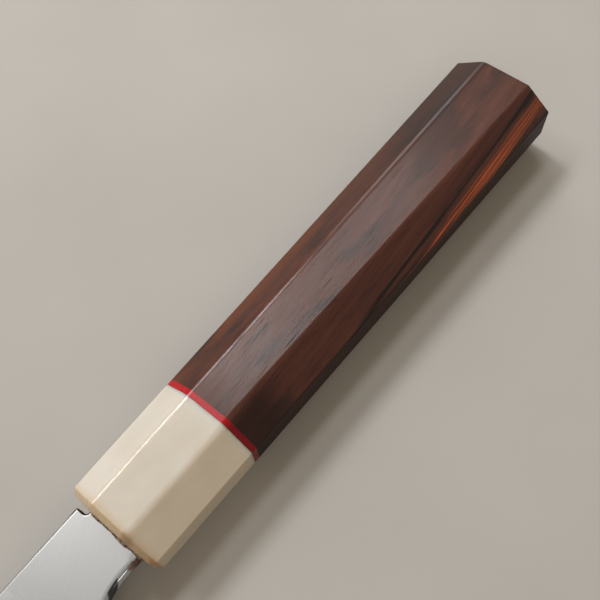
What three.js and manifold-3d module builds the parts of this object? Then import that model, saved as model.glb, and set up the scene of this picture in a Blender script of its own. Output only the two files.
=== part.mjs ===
// Gyuto kitchen knife with an octagonal wooden handle, lying on one side face of the handle.
//
// Millimetres. In the knife's own coordinates the handle's mouth is x = 0, +X runs to the butt, +Y to the
// spine and +Z out of the upper side face. The handle's axis is the X axis, and the blade's mid-plane is
// z = 0.

import * as THREE from 'three';
import { mergeVertices } from 'three/addons/utils/BufferGeometryUtils.js';
import Module from 'manifold-3d';

const wasm = await Module();
wasm.setup();

// Handle: an octagon between two parallel side faces that grows taller from the mouth to the butt
const handleWidth = 18.0; // between the side faces
const mouthHeight = 23.3; // spine face to edge face, at the mouth
const buttHeight = 27.4; // the same, at the butt
const mouthBevelHeight = 6.8; // of each corner bevel, along Y
const mouthBevelWidth = 5.5; // of each corner bevel, along Z
const buttBevelHeight = 7.1;
const buttBevelWidth = 5.0;
const ridgeEase = 0.9; // length of face that the easing of a ridge takes up on each side
const ferruleLength = 29.0;
const spacerThickness = 1.4;
const bodyLength = 111.6;
const mouthChamfer = 1.3; // round the ferrule's front edge, at 45 degrees
const buttRounding = 0.8; // radius round the butt's edge

// Inner joint of the handle: a core of hardwood that the ferrule, the spacer and the body are glued on
const ferruleWeb = 6.0; // front wall of the ferrule, in front of the core
const coreInBody = 24.0; // how far the core reaches into the body
const coreWall = 1.8; // wood of the core outside the tang
const fitGap = 0.3; // glue film round the core and round the tang
const sealWidth = 0.6; // sealing compound on each side of the tang in the slot
const sealDepth = 3.0; // how deep the compound goes into the slot

// Tang: straight through the ferrule's web, then tapered to its end
const tangTop = 6.3; // above the handle's axis, at the mouth
const tangBottom = 4.7; // below the handle's axis, at the mouth
const tangThickness = 2.8;
const tangLength = 96.0; // mouth to end
const tangEndHeight = 5.0;
const tangEndThickness = 1.8;

// Blade
const spineLevel = 9.1; // spine above the handle's axis
const neckHeight = 17.3; // spine to underside, in front of the ferrule
const neckStraight = 5.0; // straight stretch of the underside
const choilRadius = 14.5; // round from the underside down to the heel
const heelLean = 1.0; // how far the heel's corner leans forward of that round
const heelHeight = 49.0; // spine to edge at the heel
const edgeLength = 240.0; // heel to tip
const tipDrop = 24.5; // tip below the line of the spine
const spineRun = 125.0; // reach of the spine's straight stretch
const edgeRun = 95.0; // reach of the edge's flat stretch
const spineTipAngle = 20.0; // degrees, of the spine at the tip
const edgeTipAngle = 26.0; // degrees, of the edge at the tip
const shoulderGap = 0.3; // between the blade's shoulder and the ferrule
const shoulderStep = 0.3; // from the tang's side out to the neck's face
const notchLength = 1.0; // of the notch in the spine in front of the ferrule
const notchRadius = 0.9; // in the bottom of the notch
const heelThickness = 2.6; // at the spine above the heel
const tipThickness = 0.8; // at the spine by the tip
const spineEase = 0.5; // chamfer along the spine
const edgeBevel = 0.9; // height of the cutting bevel
const edgeThickness = 0.35; // behind the cutting bevel
const grindPower = 1.6; // how convex the face is: 1 is a flat wedge

// Fineness of the facets
const cornerSteps = 3;
const arcSteps = 16;
const bladeSteps = 30;
const tipCrowding = 1.3; // over 1 puts more of the blade's steps near the tip
const faceSteps = 6;

// How far a cutting shape stands out of what it cuts
const overcut = 5.0;

// Places worked out from the sizes above
const handleLength = ferruleLength + spacerThickness + bodyLength;
const bodyFront = ferruleLength + spacerThickness;
const coreFront = ferruleWeb + fitGap;
const coreBack = bodyFront + coreInBody;
const neckThickness = tangThickness + 2 * shoulderStep;
const neckBottom = spineLevel - neckHeight;
const choilStart = -(shoulderGap + neckStraight);
const heel = new THREE.Vector2(choilStart - choilRadius - heelLean, spineLevel - heelHeight);
const tip = new THREE.Vector2(heel.x - edgeLength, spineLevel - tipDrop);

const lerp = THREE.MathUtils.lerp;

// Closed skin over rings of points. The rings are in order of rising x, and each runs from +Y towards +Z.
// A ring of one point is an apex, and an open end is closed by a flat cap.
function loft(rings) {
  const middle = (ring) => ring.reduce((sum, p) => sum.add(p), new THREE.Vector3()).divideScalar(ring.length);
  const all = [...rings];
  if (rings[0].length > 1) all.unshift([middle(rings[0])]);
  if (rings.at(-1).length > 1) all.push([middle(rings.at(-1))]);
  const starts = [0];
  all.forEach((ring) => starts.push(starts.at(-1) + ring.length));
  const sides = Math.max(...all.map((ring) => ring.length));
  const index = [];
  for (let i = 0; i + 1 < all.length; i++) {
    for (let j = 0; j < sides; j++) {
      const a = starts[i] + (j % all[i].length);
      const b = starts[i] + ((j + 1) % all[i].length);
      const c = starts[i + 1] + ((j + 1) % all[i + 1].length);
      const d = starts[i + 1] + (j % all[i + 1].length);
      if (a !== b) index.push(a, b, d);
      if (c !== d) index.push(b, c, d);
    }
  }
  const geometry = new THREE.BufferGeometry().setFromPoints(all.flat());
  geometry.setIndex(index);
  return geometry;
}

// Outline in Y and Z pushed along X from one x to another
function extrudeAlongX(shape, fromX, toX) {
  const geometry = new THREE.ExtrudeGeometry(shape, {
    depth: toX - fromX,
    bevelEnabled: false,
    curveSegments: arcSteps,
  });
  const [x, y, z] = [new THREE.Vector3(1, 0, 0), new THREE.Vector3(0, 1, 0), new THREE.Vector3(0, 0, 1)];
  geometry.applyMatrix4(new THREE.Matrix4().makeBasis(y, z, x).setPosition(fromX, 0, 0));
  return geometry;
}

// Side profile in X and Y pushed through the whole thickness of the knife
function extrudeThrough(shape) {
  const geometry = new THREE.ExtrudeGeometry(shape, {
    depth: handleWidth,
    bevelEnabled: false,
    curveSegments: arcSteps,
  });
  return geometry.translate(0, 0, -handleWidth / 2);
}

// Closed skin as a solid that can be joined and cut
function toSolid(geometry) {
  const bare = new THREE.BufferGeometry();
  bare.setAttribute('position', geometry.getAttribute('position'));
  bare.setIndex(geometry.getIndex());
  const merged = mergeVertices(bare);
  return new wasm.Manifold(
    new wasm.Mesh({
      numProp: 3,
      vertProperties: new Float32Array(merged.getAttribute('position').array),
      triVerts: new Uint32Array(merged.getIndex().array),
    }),
  );
}

// Named mesh of a finished solid
function piece(name, solid, material) {
  const { vertProperties, triVerts } = solid.getMesh();
  const geometry = new THREE.BufferGeometry();
  geometry.setAttribute('position', new THREE.BufferAttribute(vertProperties, 3));
  geometry.setIndex(new THREE.BufferAttribute(triVerts, 1));
  geometry.computeVertexNormals();
  const mesh = new THREE.Mesh(geometry, material);
  mesh.name = name;
  return mesh;
}

// Octagon of the handle at x, with every side drawn in by inset and every ridge eased
function handleRing(x, inset) {
  const along = x / handleLength;
  const height = lerp(mouthBevelHeight, buttBevelHeight, along);
  const width = lerp(mouthBevelWidth, buttBevelWidth, along);
  const slope = Math.hypot(height, width);
  const halfHeight = lerp(mouthHeight, buttHeight, along) / 2;
  const y = halfHeight - inset;
  const z = handleWidth / 2 - inset;
  const innerY = halfHeight - height - (inset * (slope - height)) / width;
  const innerZ = handleWidth / 2 - width - (inset * (slope - width)) / height;
  const corners = [
    [y, -innerZ],
    [y, innerZ],
    [innerY, z],
    [-innerY, z],
    [-y, innerZ],
    [-y, -innerZ],
    [-innerY, -z],
    [innerY, -z],
  ].map((corner) => new THREE.Vector2(...corner));
  return corners.flatMap((corner, i) => {
    const towards = (other) => other.clone().sub(corner).setLength(ridgeEase).add(corner);
    const start = towards(corners.at(i - 1));
    const end = towards(corners[(i + 1) % corners.length]);
    const round = new THREE.QuadraticBezierCurve(start, corner, end);
    return round.getPoints(cornerSteps).map((p) => new THREE.Vector3(x, p.x, p.y));
  });
}

// Length of the octagonal handle from one x to another, with a chamfered front and a rounded back edge
function handleStretch(fromX, toX, frontChamfer, backRadius) {
  const front = frontChamfer > 0 ? [[fromX, frontChamfer]] : [];
  front.push([fromX + frontChamfer, 0]);
  const quarter = Array.from({ length: cornerSteps + 1 }, (_, i) => (i / cornerSteps) * (Math.PI / 2));
  const back = (backRadius > 0 ? quarter : [0]).map((a) => [
    toX - backRadius * (1 - Math.sin(a)),
    backRadius * (1 - Math.cos(a)),
  ]);
  return toSolid(loft([...front, ...back].map(([x, inset]) => handleRing(x, inset))));
}

// Tang, or the hole for it with a gap all round, from a given x to its end
function tangSolid(fromX, gap) {
  const section = (x, top, bottom, thickness) => [
    new THREE.Vector3(x, top + gap, -thickness / 2 - gap),
    new THREE.Vector3(x, top + gap, thickness / 2 + gap),
    new THREE.Vector3(x, -bottom - gap, thickness / 2 + gap),
    new THREE.Vector3(x, -bottom - gap, -thickness / 2 - gap),
  ];
  return toSolid(
    loft([
      section(fromX, tangTop, tangBottom, tangThickness),
      section(ferruleWeb, tangTop, tangBottom, tangThickness),
      section(tangLength + gap, tangEndHeight / 2, tangEndHeight / 2, tangEndThickness),
    ]),
  );
}

// Core's outline: flat sides and round ends that leave the core's wall round the tang
function coreOutline(gap) {
  const radius = tangThickness / 2 + fitGap + coreWall + gap;
  const top = tangTop + fitGap + coreWall + gap;
  const bottom = tangBottom + fitGap + coreWall + gap;
  const outline = new THREE.Shape();
  outline.absarc(top - radius, 0, radius, -Math.PI / 2, Math.PI / 2);
  outline.absarc(radius - bottom, 0, radius, Math.PI / 2, (3 * Math.PI) / 2);
  return outline;
}

// Rectangle round the tang where it goes through the ferrule's web
function slotOutline(margin) {
  const y = [-tangBottom - margin, tangTop + margin];
  const z = tangThickness / 2 + margin;
  const outline = new THREE.Shape();
  outline.moveTo(y[0], -z);
  outline.lineTo(y[1], -z);
  outline.lineTo(y[1], z);
  outline.lineTo(y[0], z);
  return outline;
}

// Cross-section of the blade from a point on the spine to a point on the edge. Near the tip the chamfer and
// the cutting bevel take up at most a quarter of what is there.
function bladeRing(spine, edge, thickness) {
  const depth = spine.distanceTo(edge);
  const ease = Math.min(spineEase, depth / 4, thickness / 4);
  const bevel = Math.min(edgeBevel, depth / 4);
  const side = [[0, thickness / 2 - ease]];
  for (let i = 0; i <= faceSteps; i++) {
    const down = lerp(ease, depth - bevel, i / faceSteps);
    side.push([down, lerp(thickness, edgeThickness, (i / faceSteps) ** grindPower) / 2]);
  }
  const place = ([down, z]) => {
    const p = spine.clone().lerp(edge, down / depth);
    return new THREE.Vector3(p.x, p.y, z);
  };
  const upper = side.map(place);
  const lower = side.map(([down, z]) => place([down, -z])).reverse();
  return [...upper, place([depth, 0]), ...lower];
}

// Curve that leaves a point above or below the heel level, runs straight at first and bends to the tip
function sweepToTip(start, straightRun, tipAngle) {
  const bend = Math.abs(start.y - tip.y) / Math.tan(THREE.MathUtils.degToRad(tipAngle));
  return new THREE.CubicBezierCurve(
    start,
    new THREE.Vector2(start.x - straightRun, start.y),
    new THREE.Vector2(tip.x + bend, start.y),
    tip,
  );
}

// Ground blade from the tip to the shoulder, still with the full height at the neck
function groundBlade() {
  const spine = sweepToTip(new THREE.Vector2(heel.x, spineLevel), spineRun, spineTipAngle);
  const edge = sweepToTip(heel, edgeRun, edgeTipAngle);
  const rings = [[new THREE.Vector3(tip.x, tip.y, 0)]];
  for (let i = bladeSteps - 1; i >= 0; i--) {
    const t = 1 - (1 - i / bladeSteps) ** tipCrowding;
    rings.push(bladeRing(spine.getPoint(t), edge.getPoint(t), lerp(heelThickness, tipThickness, t)));
  }
  rings.push(
    bladeRing(
      new THREE.Vector2(-shoulderGap, spineLevel),
      new THREE.Vector2(-shoulderGap, heel.y),
      neckThickness,
    ),
  );
  return toSolid(loft(rings));
}

// Open space under the neck, between the heel and the ferrule
function choilCut() {
  const cut = new THREE.Shape();
  cut.moveTo(overcut, neckBottom);
  cut.lineTo(choilStart, neckBottom);
  cut.absarc(choilStart, neckBottom - choilRadius, choilRadius, Math.PI / 2, Math.PI);
  cut.lineTo(heel.x, heel.y);
  cut.lineTo(heel.x, heel.y - overcut);
  cut.lineTo(overcut, heel.y - overcut);
  return toSolid(extrudeThrough(cut));
}

// Small rounded notch in the spine, down to the top of the tang
function notchCut() {
  const front = -(shoulderGap + notchLength);
  const cut = new THREE.Shape();
  cut.moveTo(front, spineLevel + overcut);
  cut.lineTo(front, tangTop + notchRadius);
  cut.absarc(front + notchRadius, tangTop + notchRadius, notchRadius, Math.PI, (3 * Math.PI) / 2);
  cut.lineTo(overcut, tangTop);
  cut.lineTo(overcut, spineLevel + overcut);
  return toSolid(extrudeThrough(cut));
}

// Blade, neck and tang in one piece of steel. The tang starts inside the neck, where the choil's round
// begins.
function blade() {
  return groundBlade().subtract(choilCut()).subtract(notchCut()).add(tangSolid(choilStart, 0));
}

// Recess that the core fills in the ferrule, the spacer and the body
const coreSocket = toSolid(extrudeAlongX(coreOutline(fitGap), ferruleWeb, coreBack + fitGap));

// Hole for the tang behind the ferrule's web
const tangHole = tangSolid(ferruleWeb - overcut, fitGap);

function ferrule() {
  const slot = toSolid(extrudeAlongX(slotOutline(sealWidth), -overcut, ferruleWeb + overcut));
  return handleStretch(0, ferruleLength, mouthChamfer, 0).subtract(coreSocket).subtract(slot);
}

function mouthSeal() {
  const ring = slotOutline(sealWidth);
  ring.holes.push(slotOutline(0));
  return toSolid(extrudeAlongX(ring, -shoulderGap, sealDepth));
}

function spacer() {
  return handleStretch(ferruleLength, bodyFront, 0, 0).subtract(coreSocket);
}

function tangCore() {
  return toSolid(extrudeAlongX(coreOutline(0), coreFront, coreBack)).subtract(tangHole);
}

function handleBody() {
  return handleStretch(bodyFront, handleLength, 0, buttRounding).subtract(coreSocket).subtract(tangHole);
}

const finish = (color, roughness, metalness) =>
  new THREE.MeshStandardMaterial({ color, roughness, metalness });
const satinSteel = finish('#b9babb', 0.35, 1.0);
const creamResin = finish('#dcd3c4', 0.3, 0.0);
const redFibre = finish('#b8202a', 0.4, 0.0);
const rosewood = finish('#54302a', 0.4, 0.0);
const paleHardwood = finish('#b08d62', 0.7, 0.0);
const brownCompound = finish('#4f2f1c', 0.6, 0.0);

const knife = new THREE.Group();
knife.add(piece('blade', blade(), satinSteel));
knife.add(piece('mouth_seal', mouthSeal(), brownCompound));
knife.add(piece('ferrule', ferrule(), creamResin));
knife.add(piece('spacer', spacer(), redFibre));
knife.add(piece('tang_core', tangCore(), paleHardwood));
knife.add(piece('handle_body', handleBody(), rosewood));

// The origin is under the middle of the knife's box, on the surface that it lies on
const box = new THREE.Box3().setFromObject(knife);
const middle = box.getCenter(new THREE.Vector3());
knife.position.set(-middle.x, -middle.y, -box.min.z);

export default knife;
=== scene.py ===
import math

import bmesh
import bpy
import numpy as np
from mathutils import Matrix, Vector
from mathutils.geometry import delaunay_2d_cdt


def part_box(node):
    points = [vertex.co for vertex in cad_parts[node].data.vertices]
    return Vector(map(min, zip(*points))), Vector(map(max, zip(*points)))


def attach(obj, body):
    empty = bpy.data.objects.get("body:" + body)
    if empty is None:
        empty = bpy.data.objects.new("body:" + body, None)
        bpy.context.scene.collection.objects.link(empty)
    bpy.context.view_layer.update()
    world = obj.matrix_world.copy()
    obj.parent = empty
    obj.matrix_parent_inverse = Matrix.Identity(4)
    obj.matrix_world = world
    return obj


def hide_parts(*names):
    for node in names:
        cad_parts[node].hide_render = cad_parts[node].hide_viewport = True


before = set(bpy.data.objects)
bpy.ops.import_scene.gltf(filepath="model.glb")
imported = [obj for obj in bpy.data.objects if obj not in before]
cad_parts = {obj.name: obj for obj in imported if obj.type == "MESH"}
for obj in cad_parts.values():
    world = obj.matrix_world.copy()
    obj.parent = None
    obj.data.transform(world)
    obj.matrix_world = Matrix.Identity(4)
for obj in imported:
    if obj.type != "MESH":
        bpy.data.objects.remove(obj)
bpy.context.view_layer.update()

# Knife coordinates: millimetres, with the handle's mouth at x = 0, +X to the butt, +Y to the spine and
# +Z up. The handle's axis is the X axis, and the blade's mid-plane is z = 0.
MM = 0.001
ferrule_low, ferrule_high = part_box("ferrule")
ferrule_middle = (ferrule_low + ferrule_high) / 2
MOUTH = Vector((ferrule_low.x, ferrule_middle.y, ferrule_middle.z))


def knife_box(node):
    """Lowest and highest corner of a CAD node, in knife coordinates."""
    return [(corner - MOUTH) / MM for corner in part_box(node)]


# Handle
HANDLE_WIDTH = (ferrule_high.z - ferrule_low.z) / MM
FERRULE_END = knife_box("ferrule")[1].x
BODY_START = knife_box("handle_body")[0].x
BUTT = knife_box("handle_body")[1].x
MOUTH_HEIGHT = 23.3
BUTT_HEIGHT = 27.4
MOUTH_BEVEL = (6.8, 5.5)  # size of each bevel along Y and Z
BUTT_BEVEL = (7.1, 5.0)
MOUTH_RIDGES = (0.8, 2.9, 2.8, 0.4)  # radii of the upper ridges, from the spine's side to the edge's
BUTT_RIDGES = (0.8, 3.8, 1.2, 0.4)
MOUTH_CHAMFER = 1.3
CHAMFER_EASE = 0.45  # radius along both edges of the chamfer
BUTT_ROUND = 0.6
END_INSET = 2.5  # how far an end's flat face starts inside the outline

# Joint inside the handle
FERRULE_WEB = 6.0
CORE_BACK = knife_box("tang_core")[1].x
CORE_WALL = 1.8
FIT_GAP = 0.3
SEAL_WIDTH = 0.6
OVERCUT = 1.0  # how far a cutter stands out of what it cuts through

# Tang
TANG_TOP = 6.3
TANG_BOTTOM = 4.7
TANG_THICKNESS = 2.8
TANG_LENGTH = knife_box("blade")[1].x
TANG_END_HEIGHT = 5.0
TANG_END_THICKNESS = 1.8

# Blade
SPINE_LEVEL = 9.1
NECK_BOTTOM = -8.2
NECK_THICKNESS = 3.4
SHOULDER = -0.3
CHOIL_START = -5.3
CHOIL_RADIUS = 14.5
TIP = np.array([knife_box("blade")[0].x, -15.4])
HEEL = np.array([-20.8, knife_box("blade")[0].y])
SPINE_RUN = 125.0
EDGE_RUN = 95.0
SPINE_TIP_ANGLE = math.radians(20)
EDGE_TIP_ANGLE = math.radians(26)
NOTCH_FRONT = -1.3
NOTCH_RADIUS = 0.9
NOTCH_CORNER = 0.5  # radius where the notch meets the spine
HEEL_THICKNESS = 2.6
TIP_THICKNESS = 0.8
GRIND_POWER = 1.6
EDGE_BEVEL = 0.9
EDGE_THICKNESS = 0.35
EDGE_BEVEL_SHARE = 0.25  # of the blade's height, at most
SPINE_ROUND = 0.65
SPINE_ROUND_SHARE = 0.35  # of the steel's thickness, at most
NOTCH_ROUND = 0.55
NECK_CHOIL_ROUND = 1.7  # depth of the rounding under the neck
HEEL_CHOIL_ROUND = 0.5  # depth of the rounding at the heel's corner
FINEST = 0.01  # half thickness left where a surface runs out to nothing
LEAST_HEIGHT = 0.1  # blade height that is reckoned with at the tip

# Fineness: points or steps of a curve, and spacing of points along a straight line
RIDGE_STEPS = 8
ROUND_STEPS = 5
CORE_POINTS = 17
SWEEP_POINTS = 130
TIP_CROWDING = 1.3  # over 1 puts more of a sweep's points near the tip
CHOIL_POINTS = 40
NOTCH_POINTS = 12
NOTCH_CORNER_POINTS = 8
ROUNDING_ROWS = 8
SEAL_STEPS = 60
HEEL_SPACING = 0.7
NECK_SPACING = 0.5
TANG_SPACING = 1.0
NOTCH_FLOOR_SPACING = 0.1
NOTCH_WALL_SPACING = 0.15
SPINE_SPACING = 0.4
FACE_SPACING = 3.0

# Edges at more than these angles stay sharp
HANDLE_SHARP = math.radians(40)
BLADE_SHARP = math.radians(35)
SEAL_SHARP = math.radians(50)


def lerp(a, b, t):
    return a + (b - a) * t


def unit(vector):
    return vector / np.linalg.norm(vector)


# Outlines


def corner_arc(before, corner, after, radius, steps):
    """Arc that eases one corner of an outline."""
    to_before = unit(before - corner)
    to_after = unit(after - corner)
    half = math.acos(to_before @ to_after) / 2
    centre = corner + unit(to_before + to_after) * radius / math.sin(half)
    start = corner + to_before * radius / math.tan(half) - centre
    end = corner + to_after * radius / math.tan(half) - centre
    turn = math.pi - 2 * half
    return [
        centre + (math.sin(turn * (1 - t)) * start + math.sin(turn * t) * end) / math.sin(turn)
        for t in np.linspace(0, 1, steps + 1)
    ]


def eased_loop(outline, radii, steps):
    """Closed outline with every corner eased by its own radius."""
    count = len(outline)
    arcs = [
        corner_arc(outline[i - 1], outline[i], outline[(i + 1) % count], radii[i], steps)
        for i in range(count)
    ]
    return np.concatenate(arcs)


def eased_path(path, radius, steps):
    """Open path with every inner corner eased."""
    path = [np.array(point, float) for point in path]
    arcs = [corner_arc(*path[i - 1 : i + 2], radius, steps) for i in range(1, len(path) - 1)]
    return [path[0], *(point for arc in arcs for point in arc), path[-1]]


def drawn_in(outline, distance):
    """Convex outline with every side moved inwards."""
    sides = np.roll(outline, -1, axis=0) - outline
    outward = np.stack([sides[:, 1], -sides[:, 0]], axis=1)
    outward /= np.linalg.norm(outward, axis=1, keepdims=True)
    outward *= np.sign(np.sum(outward * (outline - outline.mean(axis=0)), axis=1, keepdims=True))
    level = np.sum(outward * outline, axis=1) - distance
    return np.array(
        [np.linalg.solve(outward[[i - 1, i]], level[[i - 1, i]]) for i in range(len(outline))]
    )


def handle_ring(x, inset):
    """Octagon of the handle at x, drawn in by inset, with eased ridges."""
    along = x / BUTT
    y = lerp(MOUTH_HEIGHT, BUTT_HEIGHT, along) / 2
    z = HANDLE_WIDTH / 2
    inner_y = y - lerp(MOUTH_BEVEL[0], BUTT_BEVEL[0], along)
    inner_z = z - lerp(MOUTH_BEVEL[1], BUTT_BEVEL[1], along)
    quarter = [(y, inner_z), (inner_y, z)]
    half = [*quarter, *((-a, b) for a, b in reversed(quarter))]
    outline = np.array([*half, *((a, -b) for a, b in reversed(half))])
    radii = [lerp(a, b, along) for a, b in zip(MOUTH_RIDGES, BUTT_RIDGES)]
    return on_plane(x, eased_loop(drawn_in(outline, inset), radii + radii[::-1], RIDGE_STEPS))


def on_plane(x, outline):
    """Points in Y and Z set on the plane at x."""
    return np.column_stack([np.full(len(outline), x), outline])


def rounded_slot(y_low, y_high, half_z, radius, long_steps):
    """Rectangle in Y and Z with rounded corners, and with its long sides in equal steps."""
    corners = [(y_high, -half_z), (y_high, half_z), (y_low, half_z), (y_low, -half_z)]
    arcs = eased_loop(np.array(corners, float), [radius] * 4, ROUND_STEPS).reshape(4, -1, 2)
    long_sides = [np.linspace(arcs[i][-1], arcs[(i + 1) % 4][0], long_steps + 1)[1:-1] for i in (1, 3)]
    return np.concatenate([arcs[0], arcs[1], long_sides[0], arcs[2], arcs[3], long_sides[1]])


# Meshes


def linked(name, data):
    """New object in the scene."""
    thing = bpy.data.objects.new(name, data)
    bpy.context.scene.collection.objects.link(thing)
    return thing


def closed_skin(name, points, faces):
    """Object from points in knife coordinates, with every face pointing outwards."""
    mesh = bpy.data.meshes.new(name)
    mesh.from_pydata([MOUTH + Vector(point) * MM for point in points], [], faces)
    skin = bmesh.new()
    skin.from_mesh(mesh)
    bmesh.ops.recalc_face_normals(skin, faces=skin.faces)
    skin.to_mesh(mesh)
    skin.free()
    return linked(name, mesh)


def new_piece(name, points, faces, material, node):
    """Piece of the knife in the place of a CAD node."""
    piece = closed_skin(name, points, faces)
    piece.data.materials.append(material)
    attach(piece, "root")
    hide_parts(node)
    return piece


def loft(rings, endless=False):
    """Points and faces over rings with equal numbers of points.

    The ends are capped, unless the rings are endless: then the last one is joined to the first.
    """
    count = len(rings[0])
    total = len(rings) * count
    faces = [] if endless else [list(range(count)), list(range(total - count, total))]
    for r in range(len(rings) if endless else len(rings) - 1):
        here, there = r * count, (r + 1) * count % total
        for i in range(count):
            j = (i + 1) % count
            faces.append([here + i, here + j, there + j, there + i])
    return np.concatenate(rings), faces


def cut_out(piece, cutters):
    """Cut closed skins out of a piece."""
    for points, faces in cutters:
        cutter = closed_skin("cutter", points, faces)
        boolean = piece.modifiers.new("cut", "BOOLEAN")
        boolean.operation = "DIFFERENCE"
        boolean.solver = "EXACT"
        boolean.object = cutter
        apply_modifiers(piece)
        mesh = cutter.data
        bpy.data.objects.remove(cutter)
        bpy.data.meshes.remove(mesh)


def apply_modifiers(piece):
    """Make the piece's modifiers part of its mesh."""
    bpy.context.view_layer.update()
    evaluated = piece.evaluated_get(bpy.context.evaluated_depsgraph_get())
    plain = piece.data
    piece.data = bpy.data.meshes.new_from_object(evaluated)
    piece.modifiers.clear()
    name = plain.name
    bpy.data.meshes.remove(plain)
    piece.data.name = name


def shade(piece, sharp_angle):
    """Smooth shading that keeps flat faces flat and edges over an angle sharp."""
    skin = bmesh.new()
    skin.from_mesh(piece.data)
    for face in skin.faces:
        face.smooth = True
    for edge in skin.edges:
        edge.smooth = edge.calc_face_angle(math.pi) < sharp_angle
    skin.to_mesh(piece.data)
    skin.free()
    weighted = piece.modifiers.new("weighted_normals", "WEIGHTED_NORMAL")
    weighted.keep_sharp = True
    apply_modifiers(piece)


# Handle


def core_ring(x, gap):
    """Outline of the core at x: flat sides and round ends round the tang."""
    radius = TANG_THICKNESS / 2 + FIT_GAP + CORE_WALL + gap
    top = TANG_TOP + FIT_GAP + CORE_WALL + gap - radius
    bottom = radius - (TANG_BOTTOM + FIT_GAP + CORE_WALL + gap)
    turn = np.linspace(-math.pi / 2, math.pi / 2, CORE_POINTS)
    upper = np.column_stack([top + radius * np.cos(turn), radius * np.sin(turn)])
    lower = np.column_stack([bottom - radius * np.cos(turn), -radius * np.sin(turn)])
    return on_plane(x, np.concatenate([upper, lower]))


def core_socket():
    """Hollow for the core and its glue."""
    return loft([core_ring(FERRULE_WEB, FIT_GAP), core_ring(CORE_BACK + FIT_GAP, FIT_GAP)])


def tang_hole():
    """Blind hole for the tang and its glue."""

    def ring(x, top, bottom, thickness):
        y = (top + FIT_GAP, -bottom - FIT_GAP)
        z = thickness / 2 + FIT_GAP
        return on_plane(x, np.array([(y[0], -z), (y[0], z), (y[1], z), (y[1], -z)]))

    end = TANG_END_HEIGHT / 2
    return loft(
        [
            ring(FERRULE_WEB, TANG_TOP, TANG_BOTTOM, TANG_THICKNESS),
            ring(TANG_LENGTH + FIT_GAP, end, end, TANG_END_THICKNESS),
        ]
    )


def mouth_slot():
    """Slot through the ferrule's front wall, for the tang and the seal."""

    def ring(x):
        y = (-TANG_BOTTOM - SEAL_WIDTH, TANG_TOP + SEAL_WIDTH)
        z = TANG_THICKNESS / 2 + SEAL_WIDTH
        return on_plane(x, np.array([(y[1], -z), (y[1], z), (y[0], z), (y[0], -z)]))

    return loft([ring(-OVERCUT), ring(FERRULE_WEB + OVERCUT)])


def handle_piece(name, profile, cutters, material):
    """Stretch of the octagonal handle. The profile lists x and inset from its front to its back."""
    points, faces = loft([handle_ring(x, inset) for x, inset in profile])
    piece = new_piece(name + "_visual", points, faces, material, name)
    cut_out(piece, cutters)
    shade(piece, HANDLE_SHARP)


def ferrule(material):
    front = [(0, END_INSET), (0, MOUTH_CHAMFER), (MOUTH_CHAMFER, 0), (FERRULE_END, 0)]
    profile = eased_path(front, CHAMFER_EASE, ROUND_STEPS)
    handle_piece("ferrule", profile, [core_socket(), mouth_slot()], material)


def spacer(material):
    profile = [(FERRULE_END, 0), (BODY_START, 0)]
    handle_piece("spacer", profile, [core_socket()], material)


def handle_body(material):
    back = [(BODY_START, 0), (BUTT, 0), (BUTT, END_INSET)]
    profile = eased_path(back, BUTT_ROUND, ROUND_STEPS)
    handle_piece("handle_body", profile, [core_socket(), tang_hole()], material)


# Blade


def sweep_to_tip(start, run, angle):
    """Curve that runs straight at first and bends to the tip."""
    bend = abs(start[1] - TIP[1]) / math.tan(angle)
    a = np.array(start, float)
    b = np.array([start[0] - run, start[1]])
    c = np.array([TIP[0] + bend, start[1]])
    t = 1 - (1 - np.linspace(0, 1, SWEEP_POINTS)[:, None]) ** TIP_CROWDING
    return a * (1 - t) ** 3 + 3 * b * t * (1 - t) ** 2 + 3 * c * t**2 * (1 - t) + TIP * t**3


def straight(start, end, spacing):
    """Points from start up to, and without, end."""
    count = max(2, math.ceil(math.dist(start, end) / spacing) + 1)
    return np.linspace(start, end, count)[:-1]


def round_corner(centre, radius, start, end, count):
    """Points of an arc, with the angles in degrees."""
    turn = np.radians(np.linspace(start, end, count))
    return np.column_stack([centre[0] + radius * np.cos(turn), centre[1] + radius * np.sin(turn)])


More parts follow.
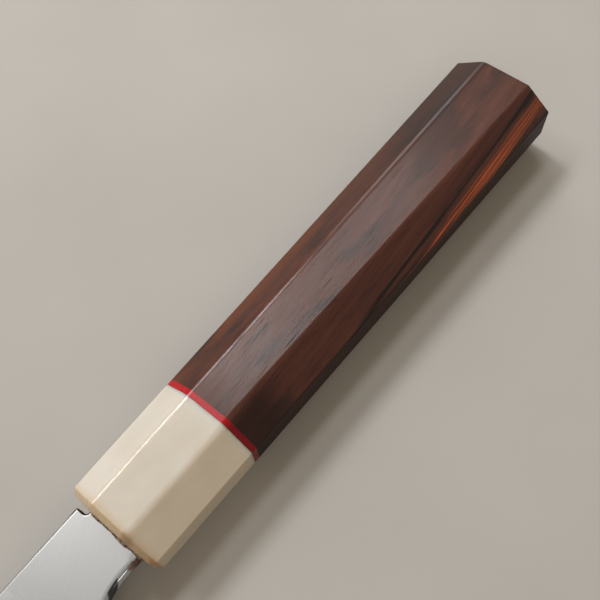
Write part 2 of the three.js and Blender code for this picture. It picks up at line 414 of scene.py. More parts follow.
def blade_parts():
    """Side outline of the steel, anticlockwise from the tip, as named stretches."""
    edge = sweep_to_tip(HEEL, EDGE_RUN, EDGE_TIP_ANGLE)[::-1][:-1]
    arc_end = (CHOIL_START - CHOIL_RADIUS, NECK_BOTTOM - CHOIL_RADIUS)
    arc = round_corner((CHOIL_START, arc_end[1]), CHOIL_RADIUS, 180, 90, CHOIL_POINTS)
    choil = np.concatenate(
        [
            straight(HEEL, arc_end, HEEL_SPACING),
            arc[:-1],
            straight((CHOIL_START, NECK_BOTTOM), (SHOULDER, NECK_BOTTOM), NECK_SPACING),
        ]
    )
    end = TANG_END_HEIGHT / 2
    tang_path = [
        (SHOULDER, NECK_BOTTOM),
        (SHOULDER, -TANG_BOTTOM),
        (FERRULE_WEB, -TANG_BOTTOM),
        (TANG_LENGTH, -end),
        (TANG_LENGTH, end),
        (FERRULE_WEB, TANG_TOP),
        (SHOULDER, TANG_TOP),
    ]
    tang = np.concatenate(
        [straight(a, b, TANG_SPACING) for a, b in zip(tang_path, tang_path[1:])]
    )
    hollow = (NOTCH_FRONT + NOTCH_RADIUS, TANG_TOP + NOTCH_RADIUS)
    corner = (NOTCH_FRONT - NOTCH_CORNER, SPINE_LEVEL - NOTCH_CORNER)
    notch = np.concatenate(
        [
            straight((SHOULDER, TANG_TOP), (hollow[0], TANG_TOP), NOTCH_FLOOR_SPACING),
            round_corner(hollow, NOTCH_RADIUS, 270, 180, NOTCH_POINTS)[:-1],
            straight((NOTCH_FRONT, hollow[1]), (NOTCH_FRONT, corner[1]), NOTCH_WALL_SPACING),
            round_corner(corner, NOTCH_CORNER, 0, 90, NOTCH_CORNER_POINTS)[:-1],
        ]
    )
    over_heel = (HEEL[0], SPINE_LEVEL)
    spine = np.concatenate(
        [
            straight((corner[0], SPINE_LEVEL), over_heel, SPINE_SPACING),
            sweep_to_tip(over_heel, SPINE_RUN, SPINE_TIP_ANGLE)[:-1],
        ]
    )
    return {"edge": edge, "choil": choil, "tang": tang, "notch": notch, "spine": spine}


def distance_to(points, path):
    """Distance of each point from a path, and how far along the path its nearest stretch lies."""
    starts, ends = path[:-1], path[1:]
    along = ends - starts
    offset = points[:, None, :] - starts[None]
    share = np.clip(np.sum(offset * along, axis=2) / np.sum(along * along, axis=1), 0, 1)
    gap = np.linalg.norm(offset - share[:, :, None] * along, axis=2)
    nearest = gap.argmin(axis=1)
    return gap[np.arange(len(points)), nearest], nearest / (len(starts) - 1)


def edge_round(depth, radius):
    """How much a rounded edge takes off, at a depth from the edge."""
    inside = np.clip(radius - depth, 0, None)
    return radius - np.sqrt(np.clip(radius**2 - inside**2, 0, None))


def half_thickness(points, paths):
    """Half the steel's thickness at points of its side outline."""
    x, y = points.T
    along = np.clip((HEEL[0] - x) / (HEEL[0] - TIP[0]), 0, 1)
    back = np.clip((x - HEEL[0]) / (SHOULDER - HEEL[0]), 0, 1)
    thickness = lerp(lerp(HEEL_THICKNESS, TIP_THICKNESS, along), NECK_THICKNESS, back)
    top = np.interp(x, paths["spine"][::-1, 0], paths["spine"][::-1, 1])
    bottom = np.interp(x, paths["edge"][:, 0], paths["edge"][:, 1])
    height = np.maximum(top - bottom, LEAST_HEIGHT)
    down = np.clip((top - y) / height, 0, 1)
    half = lerp(thickness, EDGE_THICKNESS, down**GRIND_POWER) / 2

    spine_round = np.minimum(SPINE_ROUND, SPINE_ROUND_SHARE * thickness)
    half -= edge_round(distance_to(points, paths["spine"])[0], spine_round)
    half -= edge_round(distance_to(points, paths["notch"])[0], NOTCH_ROUND)
    from_edge = distance_to(points, paths["edge"])[0]
    half *= np.clip(from_edge / np.minimum(EDGE_BEVEL, EDGE_BEVEL_SHARE * height), 0, 1)
    from_choil, choil_share = distance_to(points, paths["choil"])
    grown = np.clip(2 * choil_share, 0, 1)  # the rounding grows over the first half of the choil
    reach = lerp(HEEL_CHOIL_ROUND, NECK_CHOIL_ROUND, grown)
    half *= np.sqrt(1 - np.clip(1 - from_choil / reach, 0, 1) ** 2)

    taper = np.clip((x - FERRULE_WEB) / (TANG_LENGTH - FERRULE_WEB), 0, 1)
    tang = lerp(TANG_THICKNESS, TANG_END_THICKNESS, taper) / 2
    return np.maximum(np.where(x >= SHOULDER - FINEST, tang, half), FINEST)


def rows_inside(part, depths):
    """Points at given depths inside a stretch of an anticlockwise outline, row by row."""
    ahead = np.gradient(part, axis=0)
    inward = np.column_stack([-ahead[:, 1], ahead[:, 0]])
    inward /= np.linalg.norm(inward, axis=1, keepdims=True)
    return [part + inward * depth for depth in depths]


def blade_points(parts, outline):
    """Points inside the outline, dense where the steel is rounded or bevelled."""
    settle = 1.12  # row just past a rounding, which keeps the face beside it flat
    slack = 0.97  # share of a row's depth that has to be left to the nearest outline
    quarter = np.linspace(0, math.pi / 2, ROUNDING_ROWS + 1)[1:]
    shares = [*(1 - np.cos(quarter)), settle]
    rows = []
    for name, deepest, levels in (
        ("spine", SPINE_ROUND, shares),
        ("notch", NOTCH_ROUND, shares),
        ("choil", NECK_CHOIL_ROUND, shares),
        ("edge", EDGE_BEVEL, [1, settle]),
    ):
        depths = [deepest * level for level in levels]
        rows += [(row, depth * slack) for row, depth in zip(rows_inside(parts[name], depths), depths)]
    x, y = np.meshgrid(
        np.arange(TIP[0], SHOULDER, FACE_SPACING), np.arange(HEEL[1], SPINE_LEVEL, FACE_SPACING)
    )
    rows.append((np.column_stack([x.ravel(), y.ravel()]), 2 * NECK_CHOIL_ROUND))
    before = SHOULDER - 3 * FINEST
    rows.append((straight((before, NECK_BOTTOM), (before, TANG_TOP), NECK_SPACING)[1:], 2 * FINEST))
    rows.append((straight((SHOULDER, -TANG_BOTTOM), (SHOULDER, TANG_TOP), NECK_SPACING)[1:], FINEST))
    loop = np.concatenate([outline, outline[:1]])
    kept = [row[inside(row, outline) & (distance_to(row, loop)[0] >= least)] for row, least in rows]
    return np.concatenate(kept)


def inside(points, outline):
    """Which points lie inside a closed outline."""
    x, y = points[:, None, 0], points[:, None, 1]
    x1, y1 = outline.T
    x2, y2 = np.roll(outline, -1, axis=0).T
    crosses = (y1 > y) != (y2 > y)
    with np.errstate(divide="ignore", invalid="ignore"):
        at = x1 + (y - y1) * (x2 - x1) / (y2 - y1)
    return np.sum(crosses & (x < at), axis=1) % 2 == 1


def blade(material):
    """Blade, neck and tang: two faces over the side outline, joined by a strip round it."""
    parts = blade_parts()
    stretches = list(parts.values())
    outline = np.concatenate(stretches)
    followers = stretches[1:] + stretches[:1]
    paths = {
        name: np.concatenate([part, follower[:1]])
        for (name, part), follower in zip(parts.items(), followers)
    }
    flat = np.concatenate([outline, blade_points(parts, outline)])
    rim = len(outline)
    loop = [(i, (i + 1) % rim) for i in range(rim)]
    inside_only = 1
    found = delaunay_2d_cdt([Vector(point) for point in flat], loop, [], inside_only, FINEST / 100)
    corners, _, triangles, sources = found[:4]
    plane = np.array([tuple(corner) for corner in corners])
    origin = {source: i for i, merged in enumerate(sources) for source in merged}
    half = half_thickness(plane, paths)
    count = len(plane)
    points = np.concatenate([np.column_stack([plane, half]), np.column_stack([plane, -half])])
    faces = [list(face) for face in triangles]
    faces += [[i + count for i in reversed(face)] for face in triangles]
    for a, b in loop:
        a, b = origin[a], origin[b]
        faces.append([b, a, a + count, b + count])
    piece = new_piece("blade_visual", points, faces, material, "blade")
    shade(piece, BLADE_SHARP)
    return piece


def mouth_seal(material):
    """Brown compound round the tang, with a lip squeezed out on the neck."""
    lip = 0.28  # how far the lip reaches along the neck, on average
    uneven = 0.12  # how far its front strays from that
    # Waves along the front: share, rate and phase
    waves = ((0.45, 0.9, 0.5), (0.30, 2.3, 2.0), (0.16, 5.3, 1.0), (0.09, 8.9, 4.0))
    blob = 0.24  # how much further it reaches below the middle of the neck
    blob_middle, blob_width = -3.4, 1.5
    proud = 0.18  # how far it stands out from the neck
    film = 0.02  # what is left of that at its thin edges
    sunk = 0.05  # how far its inside lies in the steel
    slot_corner, neck_corner, tang_corner = 0.2, 1.2, 0.05  # radii

    def ring_round(x, y_low, y_high, half_z, radius):
        return on_plane(x, rounded_slot(y_low, y_high, half_z, radius, SEAL_STEPS))

    def slot_ring(x):
        half_z = TANG_THICKNESS / 2 + SEAL_WIDTH
        return ring_round(x, -TANG_BOTTOM - SEAL_WIDTH, TANG_TOP + SEAL_WIDTH, half_z, slot_corner)

    def neck_ring(x, out):
        half_z = NECK_THICKNESS / 2 + out
        return ring_round(x, NECK_BOTTOM - out, TANG_TOP + out, half_z, neck_corner + out)

    def ragged_ring(x, out):
        ring = neck_ring(x, out)
        y = ring[:, 1]
        side = np.sign(ring[:, 2])
        stray = sum(share * np.sin(rate * y + phase * side) for share, rate, phase in waves)
        ring[:, 0] += uneven * stray
        ring[:, 0] -= blob * np.exp(-(((y - blob_middle) / blob_width) ** 2))
        return ring

    def tang_ring(x):
        return ring_round(x, -TANG_BOTTOM, TANG_TOP, TANG_THICKNESS / 2, tang_corner)

    depth = knife_box("mouth_seal")[1].x
    rings = [
        slot_ring(depth),
        slot_ring(0.0),
        neck_ring(-film, proud),
        neck_ring(SHOULDER, proud),
        ragged_ring(SHOULDER - lip * 0.7, proud * 0.6),
        ragged_ring(SHOULDER - lip, film),
        neck_ring(SHOULDER - lip * 0.5, -sunk),
        tang_ring(SHOULDER),
        tang_ring(depth),
    ]
    points, faces = loft(rings, endless=True)
    piece = new_piece("mouth_seal_visual", points, faces, material, "mouth_seal")
    shade(piece, SEAL_SHARP)


# Materials


class Shader:
    """Node material that is built up call by call. A call that adds a node returns its output socket."""

    def __init__(self, name):
        self.material = bpy.data.materials.new(name)
        self.material.use_nodes = True
        self.tree = self.material.node_tree
        self.surface = self.tree.nodes["Principled BSDF"]

    def put(self, socket, value):
        """Set a socket to a value, or link it."""
        if isinstance(value, bpy.types.NodeSocket):
            self.tree.links.new(value, socket)
        elif isinstance(value, tuple) and len(value) == 3 and socket.type == "RGBA":
            socket.default_value = (*value, 1.0)
        else:
            socket.default_value = value

    def finish(self, **inputs):
        """Set the surface's own sockets. An underscore in a name stands for a space."""
        for name, value in inputs.items():
            self.put(self.surface.inputs[name.replace("_", " ")], value)

    def math(self, operation, a, b=0.0, clamp=False):
        node = self.tree.nodes.new("ShaderNodeMath")
        node.operation = operation
        node.use_clamp = clamp
        self.put(node.inputs[0], a)
        self.put(node.inputs[1], b)
        return node.outputs[0]

    def vector(self, operation, a, b):
        node = self.tree.nodes.new("ShaderNodeVectorMath")
        node.operation = operation
        self.put(node.inputs[0], a)
        self.put(node.inputs[1], b)
        return node.outputs["Value"] if operation == "DOT_PRODUCT" else node.outputs[0]

    def times(self, a, b, clamp=False):
        return self.math("MULTIPLY", a, b, clamp)

    def plus(self, a, b):
        return self.math("ADD", a, b)

    def minus(self, a, b):
        return self.math("SUBTRACT", a, b)

    def scaled(self, vector, factors):
        return self.vector("MULTIPLY", vector, factors)

    def dot(self, a, b):
        return self.vector("DOT_PRODUCT", a, b)

    def split(self, vector):
        node = self.tree.nodes.new("ShaderNodeSeparateXYZ")
        self.put(node.inputs[0], vector)
        return node.outputs[0], node.outputs[1], node.outputs[2]

    def join(self, x, y, z):
        node = self.tree.nodes.new("ShaderNodeCombineXYZ")
        for socket, value in zip(node.inputs, (x, y, z)):
            self.put(socket, value)
        return node.outputs[0]

    def place(self):
        """Place on the knife, in knife coordinates."""
        coordinates = self.tree.nodes.new("ShaderNodeTexCoord")
        mapping = self.tree.nodes.new("ShaderNodeMapping")
        mapping.inputs["Location"].default_value = -MOUTH / MM
        mapping.inputs["Scale"].default_value = (1 / MM, 1 / MM, 1 / MM)
        self.put(mapping.inputs["Vector"], coordinates.outputs["Object"])
        return mapping.outputs[0]

    def normal(self):
        return self.tree.nodes.new("ShaderNodeNewGeometry").outputs["Normal"]

    def noise(self, vector, detail=2.0, roughness=0.5, output="Fac"):
        node = self.tree.nodes.new("ShaderNodeTexNoise")
        node.inputs["Scale"].default_value = 1.0
        node.inputs["Detail"].default_value = detail
        node.inputs["Roughness"].default_value = roughness
        self.put(node.inputs["Vector"], vector)
        return node.outputs[output]

    def cells(self, vector):
        """Distance from the nearest of scattered points, about one in each unit cube."""
        node = self.tree.nodes.new("ShaderNodeTexVoronoi")
        node.inputs["Scale"].default_value = 1.0
        self.put(node.inputs["Vector"], vector)
        return node.outputs["Distance"]

    def step(self, value, start, end, low=0.0, high=1.0):
        """Smooth step from low at start to high at end."""
        node = self.tree.nodes.new("ShaderNodeMapRange")
        node.interpolation_type = "SMOOTHSTEP"
        self.put(node.inputs["Value"], value)
        for name, number in (("From Min", start), ("From Max", end), ("To Min", low), ("To Max", high)):
            node.inputs[name].default_value = number
        return node.outputs[0]

    def band(self, value, middle, half_width, soft):
        """1 within half_width of a middle value, fading to 0 over a soft margin."""
        off = self.math("ABSOLUTE", self.minus(value, middle))
        return self.step(off, half_width, half_width + soft, 1.0, 0.0)

    def mix(self, factor, a, b, blend="MIX"):
        node = self.tree.nodes.new("ShaderNodeMix")
        node.data_type = "RGBA"
        node.blend_type = blend
        self.put(node.inputs["Factor"], factor)
        self.put(node.inputs[6], a)
        self.put(node.inputs[7], b)
        return node.outputs[2]

    def ramp(self, value, *stops):
        """Colour ramp through (position, colour) stops."""
        node = self.tree.nodes.new("ShaderNodeValToRGB")
        elements = node.color_ramp.elements
        while len(elements) < len(stops):
            elements.new(1.0)
        for element, (position, colour) in zip(elements, stops):
            element.position = position
            element.color = (*colour, 1.0)
        self.put(node.inputs[0], value)
        return node.outputs[0]

    def bump(self, height, depth, normal=None):
        """Normal for a relief whose height of 1 is depth millimetres."""
        node = self.tree.nodes.new("ShaderNodeBump")
        node.inputs["Distance"].default_value = depth * MM
        self.put(node.inputs["Height"], height)
        if normal:
            self.put(node.inputs["Normal"], normal)
        return node.outputs[0]


def rosewood():
    red_brown = ((0.074, 0.025, 0.016), (0.100, 0.036, 0.023))
    deep_red = (0.030, 0.009, 0.006)
    warm_brown = (0.150, 0.044, 0.016)
    edge_face_painted_shade = (0.016, 0.007, 0.005)
    smoke_black = (0.018, 0.013, 0.012)
    cloud_brown = (0.030, 0.017, 0.014)
    orange = (0.52, 0.095, 0.034)
    vein_black = (0.009, 0.007, 0.006)
    painted_shade_end = (0.020, 0.006, 0.003)
    pore_black = (0.010, 0.006, 0.005)
    dent_painted_glint = (0.23, 0.18, 0.16)

    s = Shader("rosewood_grain")
    place = s.place()
    wander = s.noise(s.scaled(place, (0.015, 0.10, 0.10)), 2.0, 0.5, "Color")
    drift = s.scaled(s.vector("SUBTRACT", wander, (0.5, 0.5, 0.5)), (0.0, 2.0, 2.0))
    grain = s.vector("ADD", place, drift)
    x, y, _ = s.split(grain)

    # Growth layers lie about level with the upper bevel on the spine's side and sink towards the mouth
    through_layers = (-0.0756, 0.530, 0.848)
    layer = s.plus(s.dot(grain, through_layers), -through_layers[0] * BUTT)
    broad = s.noise(s.join(s.times(x, 0.010), s.times(layer, 0.35), 0.0), 2.0)
    fine = s.noise(s.join(s.times(x, 0.012), s.times(layer, 2.4), s.times(y, 1.2)), 3.0)
    tone = s.ramp(broad, (0.35, red_brown[0]), (0.65, red_brown[1]))
    tone = s.mix(1.0, tone, s.step(fine, 0.3, 0.7, 0.87, 1.13), "MULTIPLY")

    # Darker wood on the spine's side, most of all near the butt
    spine_side = s.times(s.step(x, 85.0, 130.0), s.step(y, 3.0, 7.0))
    tone = s.mix(s.times(spine_side, 0.75), tone, deep_red)
    tone = s.mix(s.step(y, 5.0, 8.0, 0.0, 0.30), tone, deep_red)

    # Warmer wood next to the spine's face, except near the butt
    slant = (BUTT_HEIGHT - MOUTH_HEIGHT) / 2 / BUTT
    from_spine = s.minus(MOUTH_HEIGHT / 2, s.dot(place, (-slant, 1.0, 0.0)))
    warm = s.times(s.step(from_spine, 4.0, 1.0), s.step(x, 95.0, 118.0, 1.0, 0.0))
    warm = s.times(warm, s.step(broad, 0.40, 0.60, 0.20, 0.60))
    tone = s.mix(warm, tone, warm_brown)

    # Painted shade: the face towards the edge is darkened
    from_edge = s.plus(s.dot(place, (slant, 1.0, 0.0)), MOUTH_HEIGHT / 2)
    tone = s.mix(s.step(from_edge, 0.7, 0.1, 0.0, 0.75), tone, edge_face_painted_shade)

    # Dark smoke in the wood
    swirl = s.vector("ADD", grain, s.scaled(wander, (0.0, 6.0, 6.0)))
    smoke = s.noise(s.scaled(swirl, (0.045, 0.22, 0.22)), 4.0, 0.62)
    tone = s.mix(s.step(smoke, 0.52, 0.70, 0.0, 0.75), tone, smoke_black)
    cloud = s.noise(s.scaled(swirl, (0.030, 0.11, 0.11)), 3.0, 0.6)
    cloud = s.times(s.step(cloud, 0.48, 0.62, 0.0, 0.55), s.step(x, 62.0, 80.0))
    tone = s.mix(cloud, tone, cloud_brown)

    # Orange streaks and the near black vein above them, on the bevel towards the edge
    sway = s.noise(s.join(s.times(x, 0.09), s.times(layer, 0.5), 5.0), 2.0)
    wavy = s.plus(layer, s.times(s.minus(sway, 0.5), 0.7))
    lines = s.noise(s.join(s.times(x, 0.022), s.times(wavy, 4.4), 7.0), 3.0, 0.65)
    streaks = s.ramp(
        lines,
        (0.38, (0.016, 0.008, 0.006)),
        (0.46, (0.110, 0.036, 0.019)),
        (0.54, (0.250, 0.068, 0.028)),
        (0.63, (0.520, 0.115, 0.042)),
    )
    zone = s.times(s.band(wavy, -0.35, 1.0, 0.6), s.step(x, 84.0, 112.0))
    tone = s.mix(zone, tone, streaks)
    core = s.times(s.band(wavy, 0.10, 0.07, 0.20), s.step(x, 74.0, 98.0))
    core = s.times(core, s.step(lines, 0.36, 0.50, 0.25, 1.0))
    tone = s.mix(s.times(core, s.step(x, 118.0, 134.0, 1.0, 0.2)), tone, orange)
    ragged = s.plus(layer, s.times(s.minus(fine, 0.5), 1.8))
    vein = s.times(s.band(ragged, 2.55, 0.15, 0.65), s.step(x, 45.0, 75.0, 0.3, 0.92))
    tone = s.mix(vein, tone, vein_black)

    # Painted shade: a darker end next to the spacer, on the bevel towards the edge
    front = s.times(s.step(x, 36.0, 46.0, 0.85, 0.0), s.step(layer, 11.0, 13.5, 1.0, 0.0))
    tone = s.mix(front, tone, painted_shade_end)

    # Open pores run along the fibres and are commonest at the front
    fibres = s.vector("ADD", grain, s.join(0.0, s.times(x, -0.05), 0.0))
    pores = s.noise(s.scaled(fibres, (0.085, 6.0, 6.0)), 1.0)
    rarer = s.step(x, 40.0, 110.0, 0.0, 0.08)
    pore = s.step(s.minus(pores, rarer), 0.59, 0.70)
    tone = s.mix(s.times(pore, 0.70), tone, pore_black)

    # Slight waves and a few small dents in the polish, which is duller towards the edge
    waves = s.noise(s.scaled(place, (0.05, 0.16, 0.16)), 1.0)
    dents = s.step(s.cells(s.scaled(place, (0.05, 0.09, 0.09))), 0.008, 0.030, 1.0, 0.0)
    # The dents are real bumps, and their paler colour is a painted glint
    tone = s.mix(s.times(dents, 0.35), tone, dent_painted_glint)
    polish = s.plus(s.step(fine, 0.2, 0.8, 0.17, 0.24), s.step(x, 60.0, 110.0, 0.0, 0.02))
    dull = s.step(from_edge, 0.7, 0.1, 0.0, 0.35)
    s.finish(
        Base_Color=tone,
        Roughness=s.plus(s.plus(polish, s.times(pore, 0.20)), dull),
        Specular_IOR_Level=0.22,
        Normal=s.bump(pore, -0.0012, s.bump(dents, -0.02, s.bump(waves, 0.03))),
    )
    return s.material


def cream_resin():
    cream = ((0.640, 0.606, 0.542), (0.685, 0.660, 0.612))
    painted_edge_shade = (1.0, 0.950, 0.870)
    stain_brown = (0.570, 0.430, 0.265)
    ridge_brown = (0.400, 0.290, 0.165)
    corner_brown = (0.400, 0.225, 0.085)

    s = Shader("cream_resin_polished")
    place = s.place()
    x, y, _ = s.split(place)
    cloud = s.noise(s.scaled(place, (0.10, 0.16, 0.16)), 3.0)
    speck = s.noise(s.scaled(place, (1.3, 1.3, 1.3)), 2.0)
    tone = s.ramp(cloud, (0.32, cream[0]), (0.68, cream[1]))
    # Painted shade: the bevel towards the edge is tinted darker and warmer
    tone = s.mix(s.step(y, -4.0, -6.5), tone, painted_edge_shade, "MULTIPLY")

    # The front rim is browner, most of all on its ridges towards the edge
    worn = s.plus(x, s.times(s.minus(speck, 0.5), 0.5))
    stain = s.times(s.step(worn, 0.6, 3.0, 1.0, 0.0), s.step(speck, 0.35, 0.65, 0.60, 0.95))
    tone = s.mix(stain, tone, stain_brown)
    ridge = s.times(s.band(y, -5.3, 0.7, 0.9), s.step(worn, 1.1, 2.1, 0.65, 0.0))
    tone = s.mix(ridge, tone, ridge_brown)
    corner = s.times(s.step(worn, 0.8, 1.8, 1.0, 0.0), s.step(y, -9.8, -11.2, 0.0, 0.75))
    tone = s.mix(corner, tone, corner_brown)
    s.finish(
        Base_Color=tone,
        Roughness=0.10,
        Specular_IOR_Level=0.5,
        Subsurface_Weight=1.0,
        Subsurface_Radius=(1.2, 0.9, 0.7),
        Subsurface_Scale=0.0026,
        Normal=s.bump(s.noise(s.scaled(place, (0.08, 0.2, 0.2)), 1.0), 0.02),
    )
    return s.material


def red_fibre():
    red = ((0.35, 0.003, 0.009), (0.45, 0.006, 0.013))
    painted_edge_shade = (0.45, 0.45, 0.45)

    s = Shader("red_fibre_sheet")
    place = s.place()
    _, y, _ = s.split(place)
    flecks = s.noise(s.scaled(place, (6.0, 0.9, 0.9)), 3.0)
    tone = s.ramp(flecks, (0.35, red[0]), (0.65, red[1]))
    # Painted shade: the side towards the edge is darker
    s.finish(
        Base_Color=s.mix(s.step(y, -4.5, -7.0), tone, painted_edge_shade, "MULTIPLY"),
        Roughness=s.step(flecks, 0.3, 0.7, 0.20, 0.28),
        Specular_IOR_Level=0.26,
    )
    return s.material


def satin_steel():
    streaky_grey = ((0.590, 0.582, 0.574), (0.690, 0.684, 0.678))
    even_grey = (0.650, 0.644, 0.638)
    painted_dark_reflection = (0.025, 0.025, 0.027)
    residue_brown = ((0.030, 0.013, 0.008), (0.170, 0.065, 0.028))
    mirror_roughness = 0.06

    s = Shader("satin_steel_brushed")
    place = s.place()
    x, y, _ = s.split(place)
    _, ny, nz = s.split(s.normal())
    upright = s.math("ABSOLUTE", nz)
    flank = s.step(upright, 0.90, 0.99)

    # The rubbing runs aslant at the neck and turns lengthwise along the blade
    turn = s.math("EXPONENT", s.math("DIVIDE", x, 30.0))
    rubbed = s.minus(s.times(y, 0.78), s.times(turn, 18.6))
    hair = s.noise(s.join(s.times(x, 0.06), s.times(rubbed, 9.0), 0.0), 3.0, 0.65)
    streak = s.noise(s.join(s.times(x, 0.009), s.times(rubbed, 0.8), 4.0), 4.0, 0.6)
    tone = s.ramp(streak, (0.3, streaky_grey[0]), (0.7, streaky_grey[1]))
    tone = s.mix(s.step(x, -80.0, -25.0, 0.0, 0.85), tone, even_grey)

    # Painted dark reflection: the choil is blackened in patches
    choil_reflection = s.times(s.step(ny, -0.36, -0.18, 1.0, 0.0), s.step(y, -6.0, -7.0))
    choil_reflection = s.times(choil_reflection, s.step(nz, -0.30, 0.0))
    patches = s.noise(s.scaled(place, (0.22, 0.22, 0.22)), 1.0)
    slanted = s.plus(s.dot(place, (1.0, 0.0, -1.5)), s.times(patches, 2.0))
    dark = s.times(s.step(patches, 0.42, 0.56), s.step(x, -11.0, -9.5, 1.0, 0.0))
    dark = s.math("MAXIMUM", dark, s.band(slanted, -8.3, 1.2, 0.9))
    choil_reflection = s.times(choil_reflection, s.step(dark, 0.0, 1.0, 0.40, 0.95))
    tone = s.mix(choil_reflection, tone, painted_dark_reflection)

    # Brown residue lies on the choil and in the spine notch, next to the ferrule
    blot = s.noise(s.scaled(place, (0.9, 1.4, 1.4)), 3.0)
    close = s.step(s.plus(x, s.times(blot, 4.0)), -2.2, 0.2)
    residue = s.times(close, s.minus(1.0, flank), clamp=True)
    stain = s.ramp(blot, (0.40, residue_brown[0]), (0.60, residue_brown[1]))
    tone = s.mix(residue, tone, stain)

    # The cutting bevel is honed finer than the face, and the rounded edges are polished bright
    honed = s.times(s.step(upright, 0.994, 0.984), s.step(ny, -0.05, -0.12))
    satin = s.minus(s.step(hair, 0.3, 0.7, 0.24, 0.28), s.times(honed, 0.10))
    gloss = s.plus(s.times(flank, s.minus(satin, mirror_roughness)), mirror_roughness)
    s.finish(
        Base_Color=tone,
        Metallic=s.minus(1.0, residue),
        Roughness=s.plus(gloss, s.times(residue, 0.4)),
        Normal=s.bump(s.times(hair, flank), 0.00040),
    )
    return s.material


def brown_seal():
    s = Shader("brown_seal_compound")
    lumps = s.noise(s.scaled(s.place(), (2.2, 1.8, 1.8)), 4.0, 0.6)
    tone = s.ramp(
        lumps,
        (0.38, (0.070, 0.043, 0.030)),
        (0.50, (0.240, 0.162, 0.118)),
        (0.62, (0.46, 0.36, 0.28)),
    )
    s.finish(
        Base_Color=tone,
        Roughness=s.step(lumps, 0.3, 0.7, 0.45, 0.75),
        Normal=s.bump(lumps, 0.25),
    )
    return s.material


def pale_hardwood():
    s = Shader("pale_hardwood_grain")
    grain = s.noise(s.scaled(s.place(), (0.04, 1.6, 1.6)), 3.0)
    s.finish(
        Base_Color=s.ramp(grain, (0.3, (0.34, 0.20, 0.085)), (0.7, (0.50, 0.33, 0.16))),
        Roughness=s.step(grain, 0.3, 0.7, 0.60, 0.75),
        Normal=s.bump(grain, 0.03),
    )
    return s.material


# Stage

BACKDROP = (0.465, 0.452, 0.430)
FILL = (0.292, 0.217, 0.128)  # light from all round
FLOOR_GREY = ((0.428, 0.424, 0.412), (0.456, 0.452, 0.440))
FLOOR_FADE = (450.0, 1500.0)  # millimetres from the mouth at which the floor passes into the backdrop
FLOOR_REACH = 30.0  # metres, as the lengths below
FLOOR_LEVEL = -0.0002
LAMP_DISTANCE = 1.0

# Each lamp has a direction from the mouth, a size, a radiance and what it lights. The bright ones are
# kept off the steel, which would glare, and weaker ones light the steel alone.
LIGHT_LISTS = {"all_but_steel": "EXCLUDE", "steel_alone": "INCLUDE"}
LAMPS = (
    ("spine_front", (-0.02, 0.655, 0.75), (0.36, 0.15), 11.3, "all_but_steel"),
    ("spine_line", (0.10, 0.56, 0.83), (0.56, 0.20), 4.0, "steel_alone"),
    ("spine_back", (0.275, 0.63, 0.72), (0.24, 0.22), 22.0, "all_but_steel"),
    ("overhead_blade", (0.01, 0.32, 0.945), (0.34, 0.30), 0.46, "steel_alone"),
    ("overhead_front", (0.262, 0.35, 0.90), (0.157, 0.17), 11.5, "all_but_steel"),
    ("overhead_middle", (0.475, 0.29, 0.83), (0.31, 0.14), 7.0, "all_but_steel"),
    ("overhead_butt", (0.66, 0.245, 0.71), (0.24, 0.24), 1.2, "all_but_steel"),
    ("butt_side", (0.60, 0.66, 0.45), (0.28, 0.32), 5.1, "all_but_steel"),
    ("top", (-0.45, -0.45, 0.77), (0.60, 0.60), 1.3, "everything"),
    ("choil_side", (-0.07, -0.75, 0.66), (0.20, 0.06), 5.0, "steel_alone"),
)

# Camera at the photograph's place, worked out from the handle's corners
EYE = (5.906, -51.800, 157.246)  # in knife coordinates
VIEW_FORWARD = (0.326876, 0.314247, -0.891292)
VIEW_RIGHT = (0.631469, -0.774294, -0.041409)
SENSOR_WIDTH = 36.0
FOCAL_LENGTH = 46.054
NEAREST = 0.01


def shown(tree):
    """1 where a ray comes from the camera, a glossy surface or glass, and 0 elsewhere."""
    path = tree.nodes.new("ShaderNodeLightPath")
    result = path.outputs["Is Camera Ray"]
    for name in ("Is Glossy Ray", "Is Transmission Ray"):
        either = tree.nodes.new("ShaderNodeMath")
        either.operation = "MAXIMUM"
        tree.links.new(result, either.inputs[0])
        tree.links.new(path.outputs[name], either.inputs[1])
        result = either.outputs[0]
    return result


def floor():
    s = Shader("pale_floor")
    place = s.place()
    mottle = s.noise(s.scaled(place, (0.02, 0.02, 0.02)), 3.0)
    s.finish(
        Base_Color=s.ramp(mottle, (0.3, FLOOR_GREY[0]), (0.7, FLOOR_GREY[1])),
        Roughness=0.85,
        Specular_IOR_Level=0.1,
    )
    far = s.step(s.math("SQRT", s.dot(place, place)), *FLOOR_FADE)
    backdrop = s.tree.nodes.new("ShaderNodeEmission")
    s.put(backdrop.inputs["Color"], BACKDROP)
    blend = s.tree.nodes.new("ShaderNodeMixShader")
    s.put(blend.inputs["Fac"], s.times(far, shown(s.tree)))
    s.put(blend.inputs[1], s.surface.outputs[0])
    s.put(blend.inputs[2], backdrop.outputs[0])
    s.put(s.tree.nodes["Material Output"].inputs["Surface"], blend.outputs[0])

    signs = ((-1, -1), (1, -1), (1, 1), (-1, 1))
    corners = [(x * FLOOR_REACH, y * FLOOR_REACH, FLOOR_LEVEL) for x, y in signs]
    mesh = bpy.data.meshes.new("floor")
    mesh.from_pydata(corners, [], [[0, 1, 2, 3]])
    mesh.materials.append(s.material)
    plane = linked("floor", mesh)


def light_list(name, piece, state):
    """Collection by which a lamp lights one piece alone (INCLUDE) or all but that piece (EXCLUDE)."""
    group = bpy.data.collections.new(name)
    group.objects.link(piece)
    group.collection_objects[0].light_linking.link_state = state
    return group


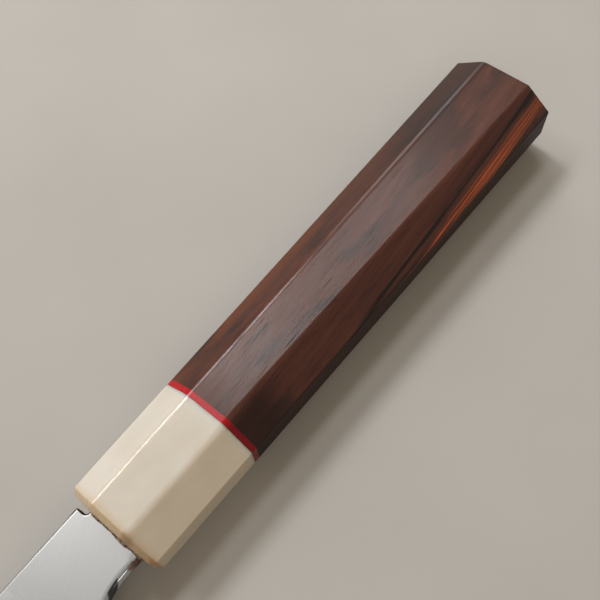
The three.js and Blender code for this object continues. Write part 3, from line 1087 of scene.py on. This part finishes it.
def placed(origin, right, up, back):
    """Matrix that sets a lamp or camera at an origin, looking away from its back."""
    return Matrix.Translation(origin) @ Matrix((right, up, back)).transposed().to_4x4()


def softbox(name, direction, size, radiance, lit):
    """Rectangular light that faces the mouth. Its radiance is what a mirror would show."""
    light = bpy.data.lights.new(name, "AREA")
    light.shape = "RECTANGLE"
    light.size, light.size_y = size
    light.energy = math.pi * size[0] * size[1] * radiance
    lamp = linked(name, light)
    away = Vector(direction).normalized()
    up = away.cross(Vector((1, 0, 0))).normalized()
    lamp.matrix_world = placed(MOUTH + away * LAMP_DISTANCE, up.cross(away), up, away)
    lamp.light_linking.receiver_collection = lit


def studio(steel):
    """Soft lamps and an even backdrop."""
    lists = {name: light_list(name, steel, state) for name, state in LIGHT_LISTS.items()}
    # A lamp that lights everything has no list
    for name, direction, size, radiance, lit in LAMPS:
        softbox(name, direction, size, radiance, lists.get(lit))
    world = bpy.data.worlds.new("studio")
    bpy.context.scene.world = world
    world.use_nodes = True
    tree = world.node_tree
    background = tree.nodes["Background"]
    level = tree.nodes.new("ShaderNodeMix")
    level.data_type = "RGBA"
    level.inputs[6].default_value = (*FILL, 1.0)
    level.inputs[7].default_value = (*BACKDROP, 1.0)
    tree.links.new(shown(tree), level.inputs["Factor"])
    tree.links.new(level.outputs[2], background.inputs["Color"])


def camera():
    forward = Vector(VIEW_FORWARD).normalized()
    right = Vector(VIEW_RIGHT)
    right = (right - forward * right.dot(forward)).normalized()
    lens = bpy.data.cameras.new("camera")
    lens.sensor_width = SENSOR_WIDTH
    lens.lens = FOCAL_LENGTH
    lens.clip_start = NEAREST
    eye = linked("camera", lens)
    eye.matrix_world = placed(MOUTH + Vector(EYE) * MM, right, right.cross(forward), -forward)
    bpy.context.scene.camera = eye


camera()
steel = blade(satin_steel())
mouth_seal(brown_seal())
ferrule(cream_resin())
spacer(red_fibre())
handle_body(rosewood())
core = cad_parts["tang_core"]
core.data.materials.clear()
core.data.materials.append(pale_hardwood())
floor()
studio(steel)
bpy.context.scene.view_settings.view_transform = "Standard"
